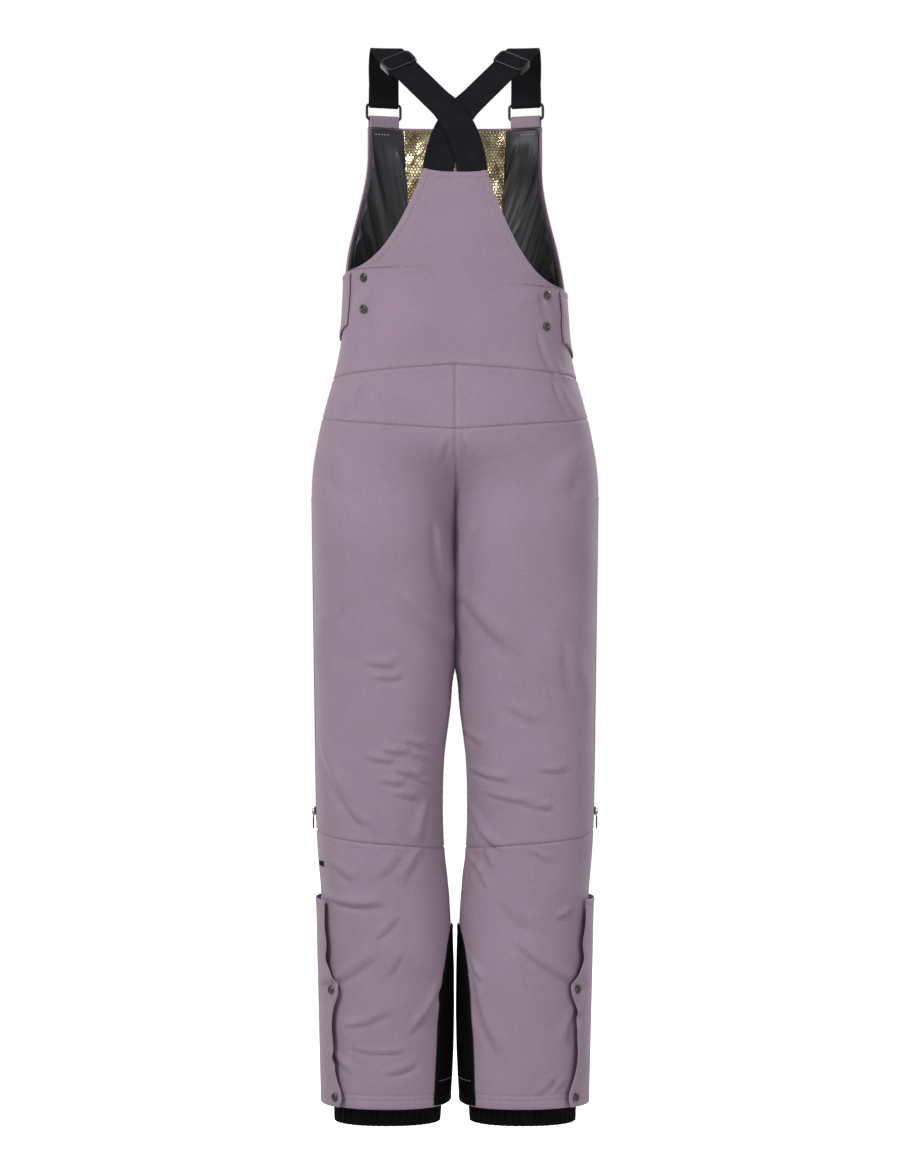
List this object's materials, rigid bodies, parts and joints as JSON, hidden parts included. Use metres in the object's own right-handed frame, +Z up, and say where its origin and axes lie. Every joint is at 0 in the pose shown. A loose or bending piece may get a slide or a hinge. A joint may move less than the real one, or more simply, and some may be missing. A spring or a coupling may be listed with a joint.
{
  "type": "insulated ski bib trousers",
  "caption": "Insulated snow bib trousers with crossed elastic shoulder straps, side vent zips, snap waist tabs, ankle storm flaps and inner gaiters.",
  "frame": {"origin": "the hanging point: midway between the tops of the two shoulder straps, level with them", "axes": "+Z up along the wearer's body, +Y towards the wearer's front, +X towards the wearer's right"},
  "size_m": [0.3908, 0.2138, 1.4595],
  "materials": {
    "shell": "matte woven",
    "lining": "satin woven",
    "foil_lining": "metallic dots on a dark ground",
    "webbing": "ribbed elastic",
    "black_plastic": "moulded",
    "zip_tape": "coil zip",
    "dark_metal": "dark plated",
    "scuff_guard": "tough matte weave",
    "gaiter_fabric": "gathered elastic"
  },
  "bodies": {
    "garment": {"back_bib_panel": "shell", "back_yoke_left": "shell", "back_yoke_right": "shell", "back_leg_upper_left": "shell", "back_leg_upper_right": "shell", "back_leg_lower_left": "shell", "back_leg_lower_right": "shell", "front_bib_left": "shell", "front_bib_right": "shell", "front_leg_upper_left": "shell", "front_leg_upper_right": "shell", "front_leg_lower_left": "shell", "front_leg_lower_right": "shell", "ring_tab_left": "shell", "ring_tab_right": "shell", "back_lining": "lining", "bib_lining_left": "lining", "bib_lining_right": "lining", "seat_lining_left": "lining", "seat_lining_right": "lining", "leg_lining_left": "lining", "leg_lining_right": "lining", "bib_lining_gold": "foil_lining", "strap_left": "webbing", "strap_right": "webbing", "ankle_loop_left": "webbing", "vent_left_zip": "zip_tape", "vent_right_zip": "zip_tape", "ankle_left_zip": "zip_tape", "ankle_right_zip": "zip_tape", "front_zip": "zip_tape", "waist_stud_upper_left": "dark_metal", "waist_stud_upper_right": "dark_metal", "waist_stud_lower_left": "dark_metal", "waist_stud_lower_right": "dark_metal", "kick_patch_left": "scuff_guard", "kick_patch_right": "scuff_guard", "gaiter_left": "gaiter_fabric", "gaiter_right": "gaiter_fabric"},
    "ring_left": {"ring_left": "black_plastic"},
    "strap_glide_left": {"strap_glide_left": "black_plastic"},
    "waist_tab_left": {"waist_tab_left": "shell"},
    "ankle_flap_left": {"ankle_flap_left": "shell", "ankle_snap_upper_left": "dark_metal", "ankle_snap_lower_left": "dark_metal"},
    "vent_slider_left": {"vent_left_zip_slider": "dark_metal"},
    "vent_pull_left": {"vent_left_zip_pull": "black_plastic"},
    "ankle_slider_left": {"ankle_left_zip_slider": "dark_metal"},
    "ring_right": {"ring_right": "black_plastic"},
    "strap_glide_right": {"strap_glide_right": "black_plastic"},
    "waist_tab_right": {"waist_tab_right": "shell"},
    "ankle_flap_right": {"ankle_flap_right": "shell", "ankle_snap_upper_right": "dark_metal", "ankle_snap_lower_right": "dark_metal"},
    "vent_slider_right": {"vent_right_zip_slider": "dark_metal"},
    "vent_pull_right": {"vent_right_zip_pull": "black_plastic"},
    "ankle_slider_right": {"ankle_right_zip_slider": "dark_metal"},
    "front_slider": {"front_zip_slider": "dark_metal"},
    "front_pull": {"front_zip_pull": "black_plastic"}
  },
  "joints": [
    {"name": "ring_left_swing", "type": "hinge", "parent": "garment", "child": "ring_left", "pos_m": [-0.09881, 0.05652, -0.0676], "axis": [-0.9521, -0.3059, 0], "range_deg": [-2.4, 2.4]},
    {"name": "strap_glide_left_slide", "type": "slide", "parent": "garment", "child": "strap_glide_left", "axis": [-0.5391, 0.5735, 0.6168], "range_m": [-0.045, 0.004]},
    {"name": "waist_tab_left_open", "type": "hinge", "parent": "garment", "child": "waist_tab_left", "pos_m": [-0.14032, 0.02698, -0.358], "axis": [0, 0, -1], "range_deg": [0, 80]},
    {"name": "ankle_flap_left_open", "type": "hinge", "parent": "garment", "child": "ankle_flap_left", "pos_m": [-0.18096, 0.00302, -1.2955], "axis": [0, 0, -1], "range_deg": [0, 80]},
    {"name": "vent_left_zip_open", "type": "slide", "parent": "garment", "child": "vent_slider_left", "axis": [-0.0155, 0, 0.9999], "range_m": [0, 0.41]},
    {"name": "vent_left_pull_swing", "type": "hinge", "parent": "vent_slider_left", "child": "vent_pull_left", "pos_m": [-0.19222, -0.026, -1.04107], "axis": [0, 1, 0], "range_deg": [-3, 165]},
    {"name": "ankle_left_zip_open", "type": "slide", "parent": "garment", "child": "ankle_slider_left", "axis": [-0.0253, 0, 0.9997], "range_m": [0, 0.23]},
    {"name": "ring_right_swing", "type": "hinge", "parent": "garment", "child": "ring_right", "pos_m": [0.09881, 0.05652, -0.0676], "axis": [-0.9521, 0.3059, 0], "range_deg": [-2.4, 2.4]},
    {"name": "strap_glide_right_slide", "type": "slide", "parent": "garment", "child": "strap_glide_right", "axis": [0.5391, 0.5735, 0.6168], "range_m": [-0.045, 0.004]},
    {"name": "waist_tab_right_open", "type": "hinge", "parent": "garment", "child": "waist_tab_right", "pos_m": [0.14213, 0.0269, -0.382], "axis": [0, 0, 1], "range_deg": [0, 80]},
    {"name": "ankle_flap_right_open", "type": "hinge", "parent": "garment", "child": "ankle_flap_right", "pos_m": [0.18096, 0.00302, -1.2955], "axis": [0, 0, 1], "range_deg": [0, 80]},
    {"name": "vent_right_zip_open", "type": "slide", "parent": "garment", "child": "vent_slider_right", "axis": [0.0155, 0, 0.9999], "range_m": [0, 0.41]},
    {"name": "vent_right_pull_swing", "type": "hinge", "parent": "vent_slider_right", "child": "vent_pull_right", "pos_m": [0.19222, -0.026, -1.04107], "axis": [0, -1, 0], "range_deg": [-3, 165]},
    {"name": "ankle_right_zip_open", "type": "slide", "parent": "garment", "child": "ankle_slider_right", "axis": [0.0253, 0, 0.9997], "range_m": [0, 0.23]},
    {"name": "front_zip_open", "type": "slide", "parent": "garment", "child": "front_slider", "axis": [0, -0.0004, -1], "range_m": [0, 0.25]},
    {"name": "front_pull_swing", "type": "hinge", "parent": "front_slider", "child": "front_pull", "pos_m": [0.0002, 0.07359, -0.129], "axis": [1, 0, 0], "range_deg": [-3, 165]}
  ]
}
